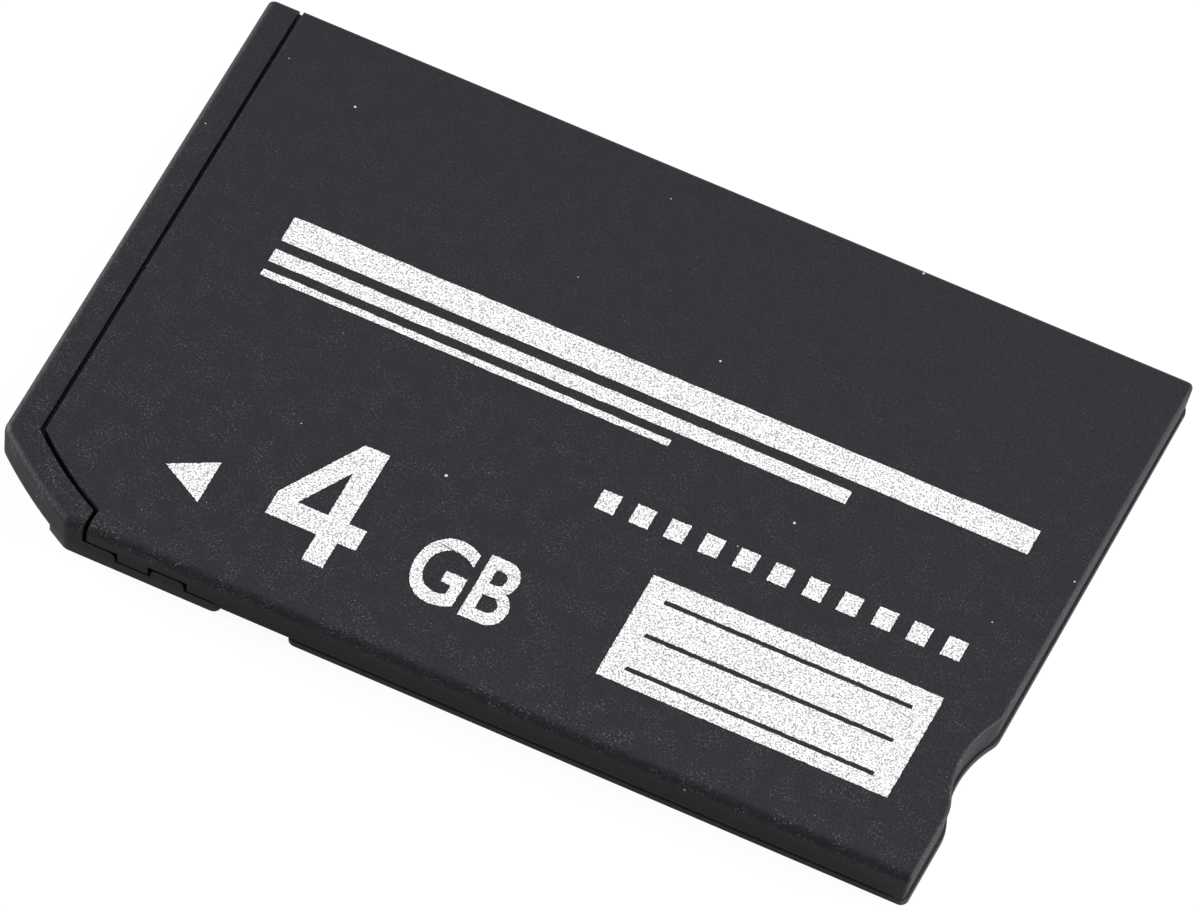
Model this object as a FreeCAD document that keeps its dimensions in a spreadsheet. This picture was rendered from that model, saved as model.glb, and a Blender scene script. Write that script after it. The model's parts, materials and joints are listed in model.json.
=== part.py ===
import FreeCAD, Part
import os
import re

import Sketcher

# A thin memory card: two moulded shells welded round a small circuit board.
# The card lies label side up. -X is the end that goes into the slot first, +X the rear end,
# -Y the near long side with the cut corner. The origin is under the middle of the card.

# Driving sizes, in millimetres.
SIZES = {
    # Outline of the whole card.
    "card_length": 31.0,
    "card_width": 20.0,
    "card_thickness": 1.6,
    "corner_radius": 0.26,
    "rim_radius": 0.12,
    "bottom_edge_radius": 0.1,
    # Cut corner at the leading end, measured along and across the card; its face bows outward.
    "cut_length": 3.2,
    "cut_width": 2.2,
    "cut_bow": 0.11,
    "cut_start_radius": 0.55,
    "cut_end_radius": 0.45,
    # Lower case: floor plate, and the nose that wraps up to the label side.
    "floor_thickness": 0.3,
    "nose_depth": 1.03,
    "cut_nose_depth": 0.93,
    "nose_side_length": 3.76,
    "nose_drop": 0.06,
    "nose_edge_radius": 0.3,
    "lead_in": 0.35,
    # Foot on the near edge where the bevel of the leading edge stops, reaching back along the cut.
    "foot_reach": 0.7,
    "foot_length": 0.55,
    "foot_step": 0.15,
    "foot_depth": 0.6,
    "foot_radius": 0.3,
    "ledge_width": 0.4,
    # Upper case: label roof, side walls and the shadow gap along their foot.
    "roof_thickness": 0.3,
    "wall_thickness": 0.8,
    "rear_wall_thickness": 1.1,
    "top_edge_radius": 0.28,
    "shadow_gap_height": 0.12,
    "shadow_gap_depth": 0.08,
    # Gap between the shells on the label side, and the running fit of their joints.
    "seam_gap": 0.16,
    "fit_clearance": 0.05,
    # Rail on the near edge of the lower case, and the locating lugs that stand on it.
    "rail_height": 0.48,
    "lug_start": 3.75,
    "lug_length": 1.1,
    "lug_pitch": 2.3,
    "lug_count": 2,
    "lug_depth": 0.4,
    "lug_height": 0.85,
    "lug_corner_radius": 0.2,
    "lug_gap": 0.1,
    # Notch in the near edge of the floor plate, where the slot's latch catches.
    "latch_notch_start": 8.3,
    "latch_notch_length": 2.25,
    "latch_notch_depth": 0.6,
    "latch_notch_lip_radius": 0.25,
    # Thumb notch in the rear end; its place is measured from the near side.
    "thumb_notch_place": 4.65,
    "thumb_notch_width": 3.5,
    "thumb_notch_depth": 0.46,
    "thumb_notch_lip_radius": 0.8,
    # Contacts, and the windows in the floor plate that open on them.
    "contact_count": 10,
    "contact_pitch": 1.4,
    "contact_width": 1.0,
    "contact_length": 3.3,
    "contact_thickness": 0.04,
    "contact_inset": 0.35,
    "contact_row_offset": 0.3,
    "window_margin": 0.06,
    # Circuit board and what is soldered to its upper side.
    "board_thickness": 0.3,
    "board_clearance": 0.1,
    "chip_headroom": 0.12,
    "chip_mark_diameter": 0.7,
    "chip_mark_depth": 0.05,
    "chip_mark_inset": 0.9,
    "flash_length": 12.0,
    "flash_width": 11.0,
    "flash_inset": 0.8,
    "controller_length": 6.0,
    "controller_width": 6.0,
    "controller_inset": 1.8,
    "passive_length": 0.6,
    "passive_width": 0.3,
    "passive_height": 0.23,
    "capacitor_count": 6,
    "capacitor_pitch": 1.5,
    "capacitor_gap": 0.5,
    "resistor_count": 4,
    "resistor_inset": 0.6,
}

# Places that follow from the driving sizes.
PLACES = {
    "lead_end": "-card_length / 2",
    "rear_end": "card_length / 2",
    "near_side": "-card_width / 2",
    "far_side": "card_width / 2",
    "cut_slant": "sqrt(cut_length^2 + cut_width^2)",
    "foot_start": "cut_length - foot_reach",
    "nose_top": "card_thickness - nose_drop",
    "roof_underside": "card_thickness - roof_thickness",
    "skirt_top": "floor_thickness + shadow_gap_height",
    "thumb_notch_y": "near_side + thumb_notch_place",
    "thumb_notch_radius": "(thumb_notch_width^2 / 4 + thumb_notch_depth^2) / (2 * thumb_notch_depth)",
    "thumb_notch_x": "rear_end - thumb_notch_depth + thumb_notch_radius",
    "roof_band": "nose_depth + seam_gap",
    "roof_cut_band": "cut_nose_depth + seam_gap",
    "strip_band": "roof_band - fit_clearance",
    "ledge_band": "nose_depth + ledge_width",
    "ledge_cut_band": "cut_nose_depth + ledge_width",
    "board_band": "ledge_band + board_clearance",
    "board_cut_band": "ledge_cut_band + board_clearance",
    "board_front": "lead_end + board_band",
    "board_rear": "rear_end - rear_wall_thickness - board_clearance",
    "board_near": "near_side + wall_thickness + board_clearance",
    "board_far": "far_side - wall_thickness - board_clearance",
    "board_top": "floor_thickness + board_thickness",
    "chip_height": "roof_underside - board_top - chip_headroom",
    "contact_front": "board_front + contact_inset",
    "contact_first": "contact_row_offset - (contact_count - 1) * contact_pitch / 2",
    "controller_front": "board_front + controller_inset",
    "flash_front": "board_rear - flash_inset - flash_length",
    "capacitor_front": "controller_front + controller_length + capacitor_gap",
    "capacitor_first": "-(capacitor_count - 1) * capacitor_pitch / 2",
    "resistor_front": "board_front + resistor_inset",
    "resistor_first": "contact_row_offset - (resistor_count - 1) * contact_pitch / 2",
}

TOLERANCE = 1e-4


def formula(text):
    """The expression with every place written out and every size read from the sheet."""
    def written_out(match):
        word = match.group(0)
        if word in PLACES:
            return "(" + formula(PLACES[word]) + ")"
        if word in SIZES:
            return "Sizes." + word
        return word
    return re.sub(r"[a-z][a-z_]*", written_out, text)


def value(text):
    """The number that an expression gives with the present sizes."""
    return float(sheet.evalExpression(formula(text)))


def band_at(band, along):
    """Y of the cut corner moved in by a band, at a distance along from the leading end."""
    return f"near_side + cut_width + ({band} * cut_slant - ({along}) * cut_width) / cut_length"


def new_body(label):
    """A new empty body with its own label."""
    body = document.addObject("PartDesign::Body", label)
    body.Label = label
    return body


def origin_feature(body, role):
    """A plane or axis of the body's own origin."""
    return next(feature for feature in body.Origin.OriginFeatures if feature.Role == role)


def new_sketch(body, name, height="0"):
    """A level sketch of the body at a given height."""
    sketch = body.newObject("Sketcher::SketchObject", name)
    sketch.AttachmentSupport = [(origin_feature(body, "XY_Plane"), "")]
    sketch.MapMode = "FlatFace"
    sketch.setExpression("AttachmentOffset.Base.z", formula(height))
    return sketch


def fix_point(sketch, geometry, point, x, y):
    """Hold one point of the sketch at two bound coordinates."""
    for kind, text in (("DistanceX", x), ("DistanceY", y)):
        number = sketch.addConstraint(Sketcher.Constraint(kind, -1, 1, geometry, point, value(text)))
        sketch.setExpression(f"Constraints[{number}]", formula(text))


def add_polygon(sketch, corners):
    """A closed run of lines through the corners, each corner held at its coordinates.

    A corner with a third entry starts an arc, which bows out to the right of the straight run by
    that much, or to the left where it is negative.
    """
    points = [FreeCAD.Vector(value(corner[0]), value(corner[1]), 0) for corner in corners]
    count = len(points)
    ends = []
    for index, corner in enumerate(corners):
        start, end = points[index], points[(index + 1) % count]
        bow = value(corner[2]) if len(corner) == 3 else 0
        if bow:
            sideways = FreeCAD.Vector(end.y - start.y, start.x - end.x, 0).normalize()
            middle = (start + end) / 2 + sideways * bow
            sketch.addGeometry(Part.Arc(start, middle, end) if bow > 0 else Part.Arc(end, middle, start))
        else:
            sketch.addGeometry(Part.LineSegment(start, end))
        ends.append((1, 2) if bow >= 0 else (2, 1))
    for index, corner in enumerate(corners):
        follower = (index + 1) % count
        sketch.addConstraint(
            Sketcher.Constraint("Coincident", index, ends[index][1], follower, ends[follower][0])
        )
        fix_point(sketch, index, ends[index][0], corner[0], corner[1])
        if len(corner) == 3:
            fix_radius(sketch, index, bow_radius(corner, corners[follower]))
    return sketch


def bow_radius(corner, follower):
    """Radius of the arc from one corner to the next that bows out by the corner's third entry."""
    x, y, bow = corner
    run = f"(({follower[0]}) - ({x}))^2 + (({follower[1]}) - ({y}))^2"
    return f"({run}) / (8 * abs({bow})) + abs({bow}) / 2"


def fix_radius(sketch, geometry, radius):
    """Bind the radius of an arc or circle of the sketch."""
    number = sketch.addConstraint(Sketcher.Constraint("Radius", geometry, value(radius)))
    sketch.setExpression(f"Constraints[{number}]", formula(radius))


def add_rectangle(sketch, left, right, near, far):
    """A rectangle between four bound sides."""
    return add_polygon(sketch, [(left, near), (right, near), (right, far), (left, far)])


def add_circle(sketch, x, y, radius):
    """A circle with bound centre and radius."""
    centre = FreeCAD.Vector(value(x), value(y), 0)
    sketch.addGeometry(Part.Circle(centre, FreeCAD.Vector(0, 0, 1), value(radius)))
    fix_point(sketch, 0, 3, x, y)
    fix_radius(sketch, 0, radius)
    return sketch


def add_pad(body, name, sketch, length):
    """Material above a sketch."""
    feature = body.newObject("PartDesign::Pad", name)
    feature.Profile = sketch
    feature.setExpression("Length", formula(length))
    return feature


def add_pocket(body, name, sketch, length, upward=True):
    """A cut above a sketch, or below it."""
    feature = body.newObject("PartDesign::Pocket", name)
    feature.Profile = sketch
    feature.Reversed = upward
    feature.setExpression("Length", formula(length))
    return feature


def add_row(body, name, original, role, count, pitch):
    """A feature repeated in a row along one axis of the body."""
    feature = body.newObject("PartDesign::LinearPattern", name)
    feature.Originals = [original]
    feature.Direction = (origin_feature(body, role), [""])
    feature.setExpression("Length", formula(f"({count} - 1) * {pitch}"))
    feature.setExpression("Occurrences", formula(count))
    body.Tip = feature
    return feature


def chosen_edges(body, wanted):
    """The names of the edges of a body's present shape that pass a test."""
    document.recompute()
    edges = body.Tip.Shape.Edges
    return [f"Edge{number}" for number, edge in enumerate(edges, 1) if wanted(edge)]


def add_fillet(body, name, radius, wanted):
    """Rounded edges, chosen by a test on each edge."""
    names = chosen_edges(body, wanted)
    base = body.Tip
    feature = body.newObject("PartDesign::Fillet", name)
    feature.Base = (base, names)
    feature.setExpression("Radius", formula(radius))
    return feature


def add_chamfer(body, name, size, wanted):
    """Bevelled edges, chosen by a test on each edge."""
    names = chosen_edges(body, wanted)
    base = body.Tip
    feature = body.newObject("PartDesign::Chamfer", name)
    feature.Base = (base, names)
    feature.setExpression("Size", formula(size))
    return feature


def upright_at(*places):
    """A test for upright edges that stand at one of the given places."""
    spots = [(value(x), value(y)) for x, y in places]

    def wanted(edge):
        box = edge.BoundBox
        if box.XLength > TOLERANCE or box.YLength > TOLERANCE:
            return False
        return any(abs(box.XMin - x) < TOLERANCE and abs(box.YMin - y) < TOLERANCE for x, y in spots)
    return wanted


def level_at(height, inside):
    """A test for edges that lie level at a height and have both ends inside a region."""
    level = value(height)

    def wanted(edge):
        box = edge.BoundBox
        flat = abs(box.ZMin - level) < TOLERANCE and abs(box.ZMax - level) < TOLERANCE
        return flat and all(inside(vertex.X, vertex.Y) for vertex in edge.Vertexes)
    return wanted


# The document and its sheet of sizes.
document = FreeCAD.newDocument("MemoryCard")
sheet = document.addObject("Spreadsheet::Sheet", "Sizes")
for row, (alias, number) in enumerate(SIZES.items(), 1):
    sheet.set(f"A{row}", alias)
    sheet.set(f"B{row}", str(number))
    sheet.setAlias(f"B{row}", alias)
document.recompute()


def build_lower_case():
    """Floor plate with contact windows, and the nose that closes the leading end."""
    body = new_body("lower_case")
    floor_sketch = add_polygon(new_sketch(body, "FloorOutline"), [
        ("lead_end", "far_side"),
        ("lead_end", "near_side + cut_width", "cut_bow"),
        ("lead_end + cut_length", "near_side"),
        ("rear_end", "near_side"),
        ("rear_end", "far_side"),
    ])
    add_pad(body, "Floor", floor_sketch, "floor_thickness")

    # The nose stands in two steps: a ledge under the roof's edge, then the band seen on the label side.
    # A narrow strip of the ledge runs on to the far side and closes the seam there.
    ledge_far = "far_side - wall_thickness - fit_clearance"
    ledge_sketch = add_polygon(new_sketch(body, "LedgeOutline"), [
        ("lead_end", "far_side"),
        ("lead_end", "near_side + cut_width", "cut_bow"),
        ("lead_end + cut_length", "near_side"),
        ("lead_end + nose_side_length", "near_side"),
        ("lead_end + nose_side_length", band_at("ledge_cut_band", "nose_side_length"), "-cut_bow"),
        ("lead_end + ledge_band", band_at("ledge_cut_band", "ledge_band")),
        ("lead_end + ledge_band", ledge_far),
        ("lead_end + strip_band", ledge_far),
        ("lead_end + strip_band", "far_side"),
    ])
    add_pad(body, "Ledge", ledge_sketch, "roof_underside")
    nose_sketch = add_polygon(new_sketch(body, "NoseOutline"), [
        ("lead_end", "far_side"),
        ("lead_end", "near_side + cut_width", "cut_bow"),
        ("lead_end + cut_length", "near_side"),
        ("lead_end + nose_side_length", "near_side"),
        ("lead_end + nose_side_length", band_at("cut_nose_depth", "nose_side_length"), "-cut_bow"),
        ("lead_end + nose_depth", band_at("cut_nose_depth", "nose_depth")),
        ("lead_end + nose_depth", "far_side"),
    ])
    add_pad(body, "Nose", nose_sketch, "nose_top")

    rail_sketch = add_rectangle(
        new_sketch(body, "RailOutline"),
        "lead_end + lug_start", "lead_end + latch_notch_start",
        "near_side", "near_side + lug_depth",
    )
    add_pad(body, "Rail", rail_sketch, "rail_height")
    lug_sketch = add_rectangle(
        new_sketch(body, "LugOutline"),
        "lead_end + lug_start", "lead_end + lug_start + lug_length",
        "near_side", "near_side + lug_depth",
    )
    lug = add_pad(body, "Lug", lug_sketch, "lug_height")
    add_row(body, "LugRow", lug, "X_Axis", "lug_count", "lug_pitch")
    lug_top = value("lug_height")
    nose_end = value("lead_end + nose_side_length") + TOLERANCE

    def on_lug_end(edge):
        box = edge.BoundBox
        level = abs(box.ZMin - lug_top) < TOLERANCE and abs(box.ZMax - lug_top) < TOLERANCE
        return level and box.XLength < TOLERANCE and box.XMin > nose_end
    add_fillet(body, "LugRounding", "lug_corner_radius", on_lug_end)

    thumb_sketch = add_circle(
        new_sketch(body, "ThumbOutline"), "thumb_notch_x", "thumb_notch_y", "thumb_notch_radius"
    )
    add_pocket(body, "ThumbNotch", thumb_sketch, "floor_thickness")
    latch_sketch = add_rectangle(
        new_sketch(body, "LatchOutline"),
        "lead_end + latch_notch_start", "lead_end + latch_notch_start + latch_notch_length",
        "near_side - latch_notch_depth", "near_side + latch_notch_depth",
    )
    add_pocket(body, "LatchNotch", latch_sketch, "floor_thickness")

    window_sketch = add_rectangle(
        new_sketch(body, "WindowOutline"),
        "contact_front - window_margin", "contact_front + contact_length + window_margin",
        "contact_first - contact_width / 2 - window_margin",
        "contact_first + contact_width / 2 + window_margin",
    )
    window = add_pocket(body, "Window", window_sketch, "floor_thickness")
    add_row(body, "WindowRow", window, "Y_Axis", "contact_count", "contact_pitch")

    # The foot stands out from the end of the cut corner, as high as the lugs.
    foot_near = band_at("-foot_step", "foot_start")
    foot_sketch = add_polygon(new_sketch(body, "FootOutline"), [
        ("lead_end + foot_start", "near_side + foot_depth"),
        ("lead_end + foot_start", foot_near),
        ("lead_end + foot_start + foot_length", "near_side"),
        ("lead_end + nose_side_length", "near_side"),
        ("lead_end + nose_side_length", "near_side + foot_depth"),
    ])
    add_pad(body, "Foot", foot_sketch, "lug_height")
    add_fillet(body, "FootRounding", "foot_radius", upright_at(
        ("lead_end + foot_start + foot_length", "near_side"),
    ))

    # The leading edge is bevelled underneath, round the cut corner as far as the foot.
    add_fillet(body, "CutStartRounding", "cut_start_radius", upright_at(
        ("lead_end", "near_side + cut_width"),
    ))
    lead_end = value("lead_end")
    bevel_end = value("lead_end + foot_start") + TOLERANCE
    foot_limit = value(foot_near) + TOLERANCE

    def on_leading_edge(x, y):
        near_limit = value("near_side + cut_width") - (x - lead_end) * value("cut_width / cut_length")
        on_cut = foot_limit < y < near_limit + value("cut_start_radius")
        return x < bevel_end and (x < lead_end + TOLERANCE or on_cut)
    add_chamfer(body, "LeadIn", "lead_in", level_at("0", on_leading_edge))
    add_fillet(body, "CornerRounding", "corner_radius", upright_at(
        ("rear_end", "far_side"), ("rear_end", "near_side"),
    ))
    add_fillet(body, "CutEndRounding", "cut_end_radius", upright_at(("lead_end + cut_length", "near_side")))
    add_fillet(body, "ThumbLip", "thumb_notch_lip_radius", upright_at(
        ("rear_end", "thumb_notch_y - thumb_notch_width / 2"),
        ("rear_end", "thumb_notch_y + thumb_notch_width / 2"),
    ))
    add_fillet(body, "LatchLip", "latch_notch_lip_radius", upright_at(
        ("lead_end + latch_notch_start", "near_side"),
        ("lead_end + latch_notch_start + latch_notch_length", "near_side"),
    ))

    # The nose's outer top edge is rounded full, the rim of its far end and the underside only slightly.
    side_limit = value("far_side") - TOLERANCE
    nose_middle = value("lead_end + nose_depth / 2")

    def on_nose_edge(x, y):
        cut_drop = (x - lead_end) * value("cut_width / cut_length")
        cut_middle = value(band_at("cut_nose_depth / 2", "0")) - cut_drop
        return y < -side_limit or x < nose_middle or y < cut_middle
    add_fillet(body, "NoseRounding", "nose_edge_radius", level_at("nose_top", on_nose_edge))
    rounding_end = value("lead_end + nose_edge_radius") + TOLERANCE
    bevel_top, nose_top = value("lead_in") - TOLERANCE, value("nose_top") - TOLERANCE

    def on_nose_rim(edge):
        box = edge.BoundBox
        at_corner = box.XMax < rounding_end and box.ZMin > bevel_top and box.ZLength > TOLERANCE
        return box.YMin > side_limit and (at_corner or box.ZMin > nose_top)
    add_fillet(body, "NoseRim", "rim_radius", on_nose_rim)
    rear_limit = value("rear_end - thumb_notch_depth - corner_radius")
    near_limit = max(foot_limit, value("near_side + latch_notch_lip_radius") + TOLERANCE)

    def on_free_edge(x, y):
        return y < near_limit or y > side_limit or x > rear_limit
    add_fillet(body, "UndersideRounding", "bottom_edge_radius", level_at("0", on_free_edge))
    return body


def build_upper_case():
    """Label shell: roof, three walls and the slots that take the lugs."""
    body = new_body("upper_case")

    side = "nose_side_length + seam_gap"

    def shell_outline(inset):
        return [
            ("lead_end + roof_band", f"far_side - {inset}"),
            ("lead_end + roof_band", band_at("roof_cut_band", "roof_band"), "cut_bow"),
            (f"lead_end + {side}", band_at("roof_cut_band", side)),
            (f"lead_end + {side}", f"near_side + {inset}"),
            (f"rear_end - {inset}", f"near_side + {inset}"),
            (f"rear_end - {inset}", f"far_side - {inset}"),
        ]

    # The foot of the walls is set back, which leaves a shadow gap above the floor plate.
    skirt_sketch = add_polygon(
        new_sketch(body, "SkirtOutline", "floor_thickness"), shell_outline("shadow_gap_depth")
    )
    add_pad(body, "Skirt", skirt_sketch, "shadow_gap_height")
    skirt_thumb = add_circle(
        new_sketch(body, "SkirtThumbOutline", "floor_thickness"),
        "thumb_notch_x", "thumb_notch_y", "thumb_notch_radius",
    )
    add_pocket(body, "SkirtThumbNotch", skirt_thumb, "shadow_gap_height")
    add_fillet(body, "SkirtRounding", "corner_radius", upright_at(
        ("rear_end - shadow_gap_depth", "far_side - shadow_gap_depth"),
        ("rear_end - shadow_gap_depth", "near_side + shadow_gap_depth"),
    ))
    roof_sketch = add_polygon(new_sketch(body, "RoofOutline", "skirt_top"), shell_outline("0"))
    add_pad(body, "Roof", roof_sketch, "card_thickness - skirt_top")
    roof_thumb = add_circle(
        new_sketch(body, "RoofThumbOutline", "skirt_top"),
        "thumb_notch_x", "thumb_notch_y", "thumb_notch_radius",
    )
    add_pocket(body, "RoofThumbNotch", roof_thumb, "card_thickness - skirt_top")

    cavity_sketch = add_rectangle(
        new_sketch(body, "CavityOutline", "floor_thickness"),
        "lead_end", "rear_end - rear_wall_thickness",
        "near_side + wall_thickness", "far_side - wall_thickness",
    )
    add_pocket(body, "Cavity", cavity_sketch, "roof_underside - floor_thickness")
    rail_slot_sketch = add_rectangle(
        new_sketch(body, "RailSlotOutline", "floor_thickness"),
        "lead_end + lug_start", "lead_end + latch_notch_start + lug_gap",
        "near_side - lug_depth", "near_side + lug_depth + fit_clearance",
    )
    add_pocket(body, "RailSlot", rail_slot_sketch, "rail_height + lug_gap - floor_thickness")
    slot_sketch = add_rectangle(
        new_sketch(body, "SlotOutline", "floor_thickness"),
        "lead_end + lug_start - lug_gap", "lead_end + lug_start + lug_length + lug_gap",
        "near_side - lug_depth", "near_side + lug_depth + fit_clearance",
    )
    slot = add_pocket(body, "Slot", slot_sketch, "lug_height + lug_gap - floor_thickness")
    add_row(body, "SlotRow", slot, "X_Axis", "lug_count", "lug_pitch")

    add_fillet(body, "ThumbLip", "thumb_notch_lip_radius", upright_at(
        ("rear_end", "thumb_notch_y - thumb_notch_width / 2"),
        ("rear_end", "thumb_notch_y + thumb_notch_width / 2"),
    ))

    # The near top edge is rounded full, the rim of the other sides and the thumb notch only slightly.
    side_limit = value("far_side") - TOLERANCE

    def on_near_side(x, y):
        return y < -side_limit
    add_fillet(body, "NearRounding", "top_edge_radius", level_at("card_thickness", on_near_side))
    rear_limit = value("rear_end") - TOLERANCE
    notch_floor = value("rear_end - thumb_notch_depth") - TOLERANCE
    corner_limit = value("far_side - top_edge_radius") - TOLERANCE
    top, rim_foot = value("card_thickness") - TOLERANCE, value("skirt_top") - TOLERANCE

    def on_rim(edge):
        box = edge.BoundBox
        on_top = box.ZMin > top and (box.XMin > notch_floor or box.YMin > side_limit)
        beside = min(abs(box.YMin), abs(box.YMax)) > corner_limit
        at_corner = box.XMin > rear_limit and beside and box.ZMin > rim_foot and box.ZLength > TOLERANCE
        return on_top or at_corner
    add_fillet(body, "RimRounding", "rim_radius", on_rim)
    return body


def build_circuit_board():
    """Board inside the walls, its near corner cut to clear the nose."""
    body = new_body("circuit_board")
    cut_depth = "cut_width - board_near + near_side"
    cut_end = f"lead_end + (board_cut_band * cut_slant + ({cut_depth}) * cut_length) / cut_width"
    board_sketch = add_polygon(new_sketch(body, "BoardOutline", "floor_thickness"), [
        ("board_front", "board_far"),
        ("board_front", band_at("board_cut_band", "board_band")),
        (cut_end, "board_near"),
        ("board_rear", "board_near"),
        ("board_rear", "board_far"),
    ])
    add_pad(body, "Board", board_sketch, "board_thickness")
    return body


def build_chip(label, front, length, width):
    """Flat moulded package on the board, with a round mark sunk beside its first corner."""
    body = new_body(label)
    package_sketch = add_rectangle(
        new_sketch(body, "PackageOutline", "board_top"),
        front, f"{front} + {length}", f"-{width} / 2", f"{width} / 2",
    )
    add_pad(body, "Package", package_sketch, "chip_height")
    mark_sketch = add_circle(
        new_sketch(body, "MarkOutline", "board_top + chip_height"),
        f"{front} + chip_mark_inset", f"-{width} / 2 + chip_mark_inset", "chip_mark_diameter / 2",
    )
    add_pocket(body, "Mark", mark_sketch, "chip_mark_depth", upward=False)
    return body


def build_block(label, sizes, corner):
    """A plain block with bound sizes and a bound lowest corner."""
    block = document.addObject("Part::Box", label)
    block.Label = label
    for property_name, text in zip(("Length", "Width", "Height"), sizes):
        block.setExpression(property_name, formula(text))
    for axis, text in zip("xyz", corner):
        block.setExpression(f"Placement.Base.{axis}", formula(text))
    return block


def build_contact(index):
    """One gold contact under the board, in the middle of its window."""
    corner = (
        "contact_front",
        f"contact_first + {index} * contact_pitch - contact_width / 2",
        "floor_thickness - contact_thickness",
    )
    sizes = ("contact_length", "contact_width", "contact_thickness")
    return build_block(f"contact_pad_{index + 1:02d}", sizes, corner)


def build_capacitor(index):
    """One capacitor of the row behind the controller."""
    across = f"capacitor_first + {index} * capacitor_pitch - passive_width / 2"
    sizes = ("passive_length", "passive_width", "passive_height")
    return build_block(f"capacitor_{index + 1}", sizes, ("capacitor_front", across, "board_top"))


def build_resistor(index):
    """One series resistor of the row over the contacts."""
    across = f"resistor_first + {index} * contact_pitch - passive_width / 2"
    sizes = ("passive_length", "passive_width", "passive_height")
    return build_block(f"resistor_{index + 1}", sizes, ("resistor_front", across, "board_top"))


def check(pieces):
    """Stop if a feature failed, a cut removed nothing or a piece is not one sound solid."""
    for item in document.Objects:
        if "Invalid" in item.State or "Error" in item.State:
            raise RuntimeError(f"{item.Label} failed: {item.State}")
        if item.TypeId == "PartDesign::Pocket" and item.Shape.Volume >= item.BaseFeature.Shape.Volume:
            raise RuntimeError(f"{item.Label} cuts nothing")
    for piece in pieces:
        shape = piece.Shape
        if shape.isNull() or not shape.isValid() or len(shape.Solids) != 1:
            raise RuntimeError(f"{piece.Label} is not one sound solid")


pieces = [
    build_lower_case(),
    build_upper_case(),
    build_circuit_board(),
    build_chip("flash_memory", "flash_front", "flash_length", "flash_width"),
    build_chip("controller_chip", "controller_front", "controller_length", "controller_width"),
]
pieces += [build_contact(index) for index in range(round(value("contact_count")))]
pieces += [build_capacitor(index) for index in range(round(value("capacitor_count")))]
pieces += [build_resistor(index) for index in range(round(value("resistor_count")))]
document.recompute()
check(pieces)

os.makedirs("parts", exist_ok=True)
for piece in pieces:
    piece.Shape.exportStep(f"parts/{piece.Label}.step")
    print(f"{piece.Label}: {piece.Shape.Volume:.3f} mm3")
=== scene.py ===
"""Looks of a slim memory card: moulded shells, silver print, gold contacts and a white studio."""

import json
import logging
import math
from contextlib import contextmanager
from dataclasses import dataclass
from enum import IntEnum
from typing import Callable, Iterator, Sequence

import bmesh
import bpy
from mathutils import Matrix, Vector, noise


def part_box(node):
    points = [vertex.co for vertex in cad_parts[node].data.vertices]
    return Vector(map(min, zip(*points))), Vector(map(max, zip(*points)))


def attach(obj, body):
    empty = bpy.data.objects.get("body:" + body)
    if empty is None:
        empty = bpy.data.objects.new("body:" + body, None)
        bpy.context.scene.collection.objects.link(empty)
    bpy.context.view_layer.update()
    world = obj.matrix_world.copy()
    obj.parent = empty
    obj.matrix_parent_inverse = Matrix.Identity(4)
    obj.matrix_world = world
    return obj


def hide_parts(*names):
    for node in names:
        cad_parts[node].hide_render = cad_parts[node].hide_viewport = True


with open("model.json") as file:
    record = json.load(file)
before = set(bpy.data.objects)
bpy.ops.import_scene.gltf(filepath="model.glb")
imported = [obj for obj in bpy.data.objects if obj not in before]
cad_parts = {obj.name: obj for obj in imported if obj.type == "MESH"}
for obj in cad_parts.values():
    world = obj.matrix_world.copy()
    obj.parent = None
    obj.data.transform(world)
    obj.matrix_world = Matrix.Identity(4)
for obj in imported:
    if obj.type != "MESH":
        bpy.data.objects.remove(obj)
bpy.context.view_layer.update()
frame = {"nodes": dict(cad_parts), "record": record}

MM = 0.001
BODY = "root"
LOG = logging.getLogger("memory_card")

# In millimetres: the distance at which two places count as one, the play of a level or upright edge,
# and how far a cutter reaches past the card.
SAME_PLACE = 1e-3
ALIGNED = 1e-4
PAST = 1.0

Point = tuple[float, float]
Colour = tuple[float, float, float]
Stops = Sequence[tuple[float, float]]
PlaceTest = Callable[[Vector], bool]
EdgeTest = Callable[[Vector, Vector], bool]


class Facets(IntEnum):
    """Number of flat faces across a rounding."""

    FLAT = 1
    SOFTENED = 2
    RIM = 4
    SMALL = 5
    NOSE = 7
    LARGE = 8


def activate(obj: bpy.types.Object) -> None:
    """Make one object the only selected and the active one."""
    bpy.ops.object.select_all(action="DESELECT")
    obj.select_set(True)
    bpy.context.view_layer.objects.active = obj


def arc(centre: Point, radius: float, start: float, end: float, steps: int) -> list[Point]:
    """Points on a circular arc.

    Args:
        centre: middle of the circle.
        radius: its radius.
        start: first angle, in radians.
        end: last angle, in radians.
        steps: number of straight runs that stand for the arc.

    Returns:
        The points from start to end, both included.
    """
    angles = [start + (end - start) * step / steps for step in range(steps + 1)]
    return [(centre[0] + radius * math.cos(a), centre[1] + radius * math.sin(a)) for a in angles]


def bowed(start: Point, end: Point, bow: float, steps: int = 20) -> list[Point]:
    """Points on a shallow arc between two corners.

    Args:
        start: first corner.
        end: last corner.
        bow: how far the middle stands out to the right of the straight run.
        steps: number of straight runs that stand for the arc.

    Returns:
        The points from start to end, both included.
    """
    run = Vector(end) - Vector(start)
    sideways = Vector((run.y, -run.x)).normalized()
    shares = [step / steps for step in range(steps + 1)]
    places = [Vector(start) + run * share + sideways * (4 * bow * share * (1 - share)) for share in shares]
    return [(place.x, place.y) for place in places]


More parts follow.
